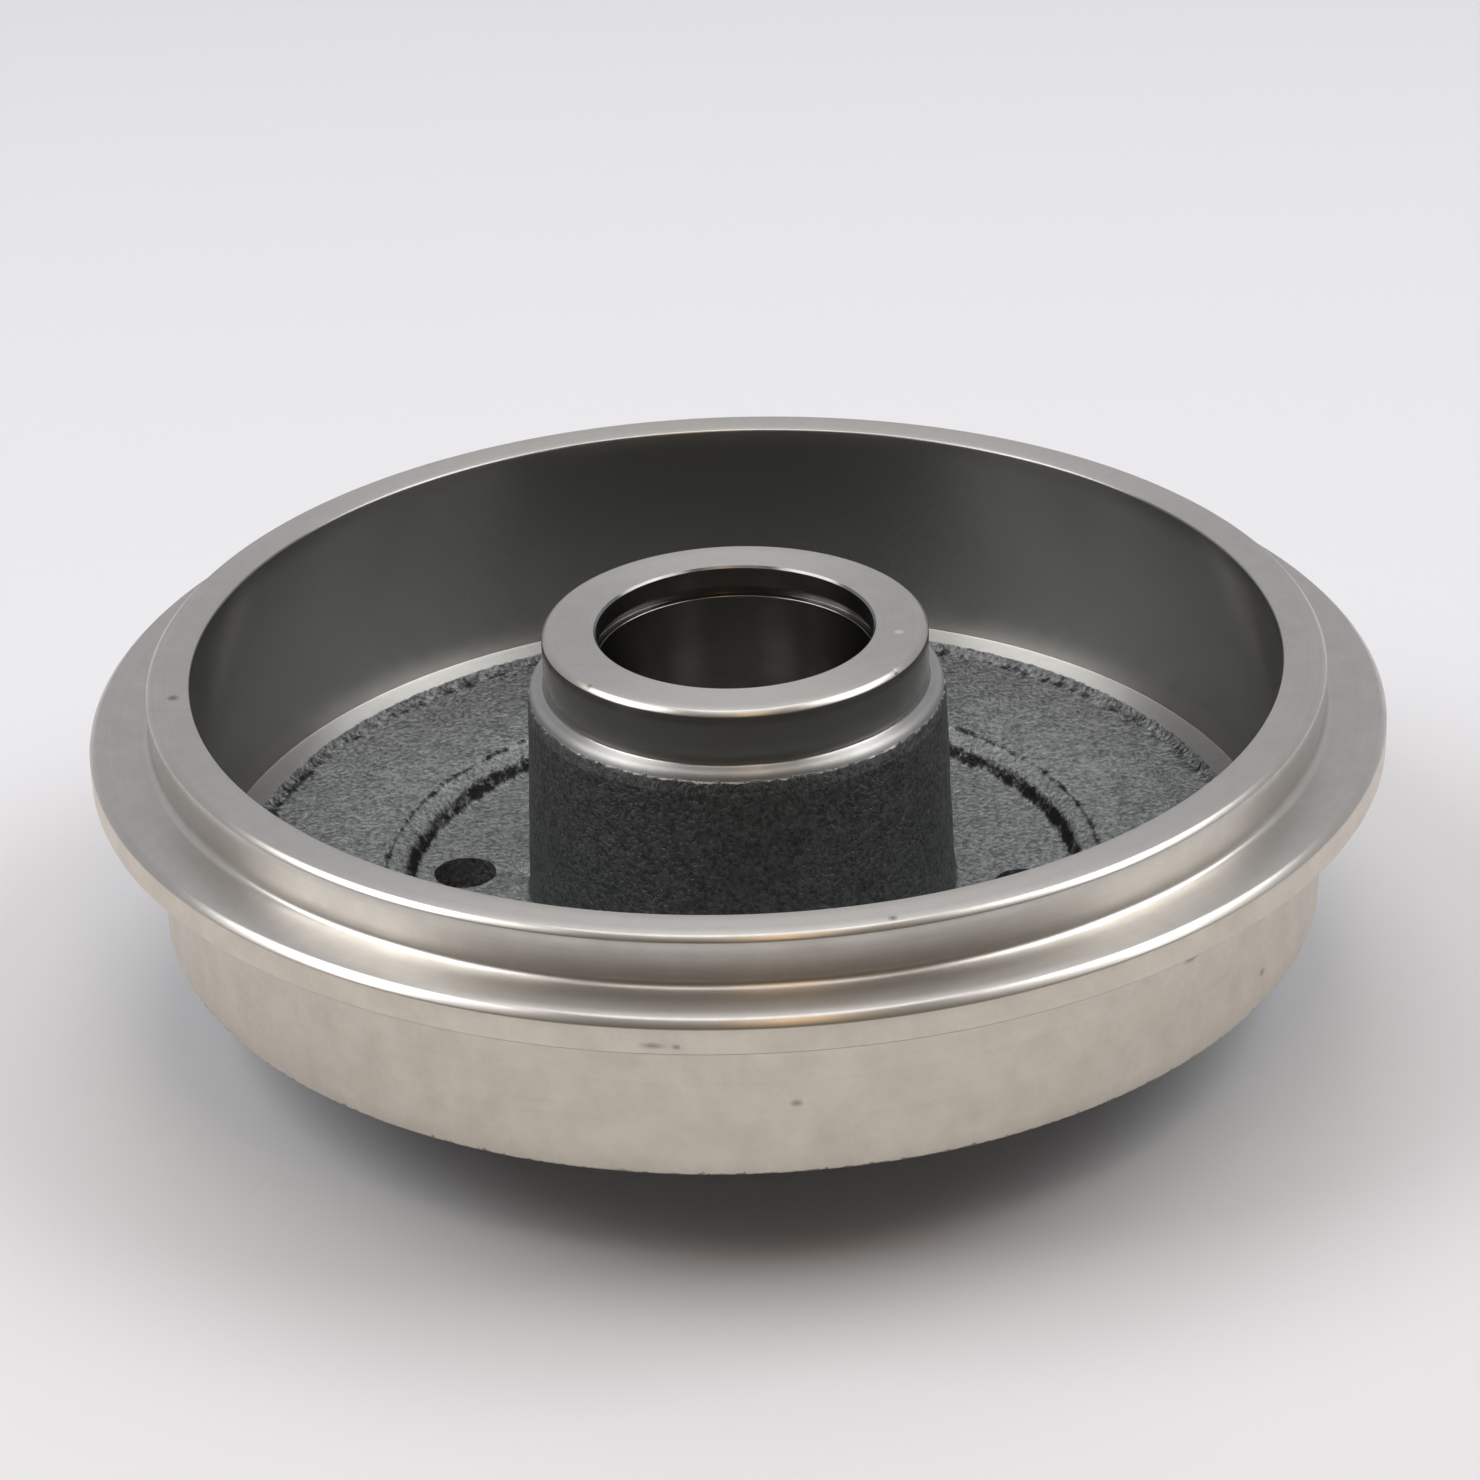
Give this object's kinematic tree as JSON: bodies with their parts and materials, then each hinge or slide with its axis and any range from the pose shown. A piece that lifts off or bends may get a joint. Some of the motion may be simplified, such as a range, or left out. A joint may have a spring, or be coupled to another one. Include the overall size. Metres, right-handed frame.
{
  "type": "brake drum",
  "caption": "Cast-iron car brake drum: flanged braking ring, cast web and central hub with a bearing bore, ring seat, bolt holes for the wheel and a centring spigot.",
  "frame": {"origin": "on the wheel axis, in the plane of the wheel mounting face", "axes": "+Z along the wheel axis towards the open side that takes the brake shoes, -Z towards the wheel"},
  "size_m": [0.2418, 0.2418, 0.0719],
  "materials": {
    "cast_iron": "turned faces light grey and satin, cast faces dark and grainy"
  },
  "bodies": {
    "root": {"brake_drum": "cast_iron"}
  },
  "joints": []
}
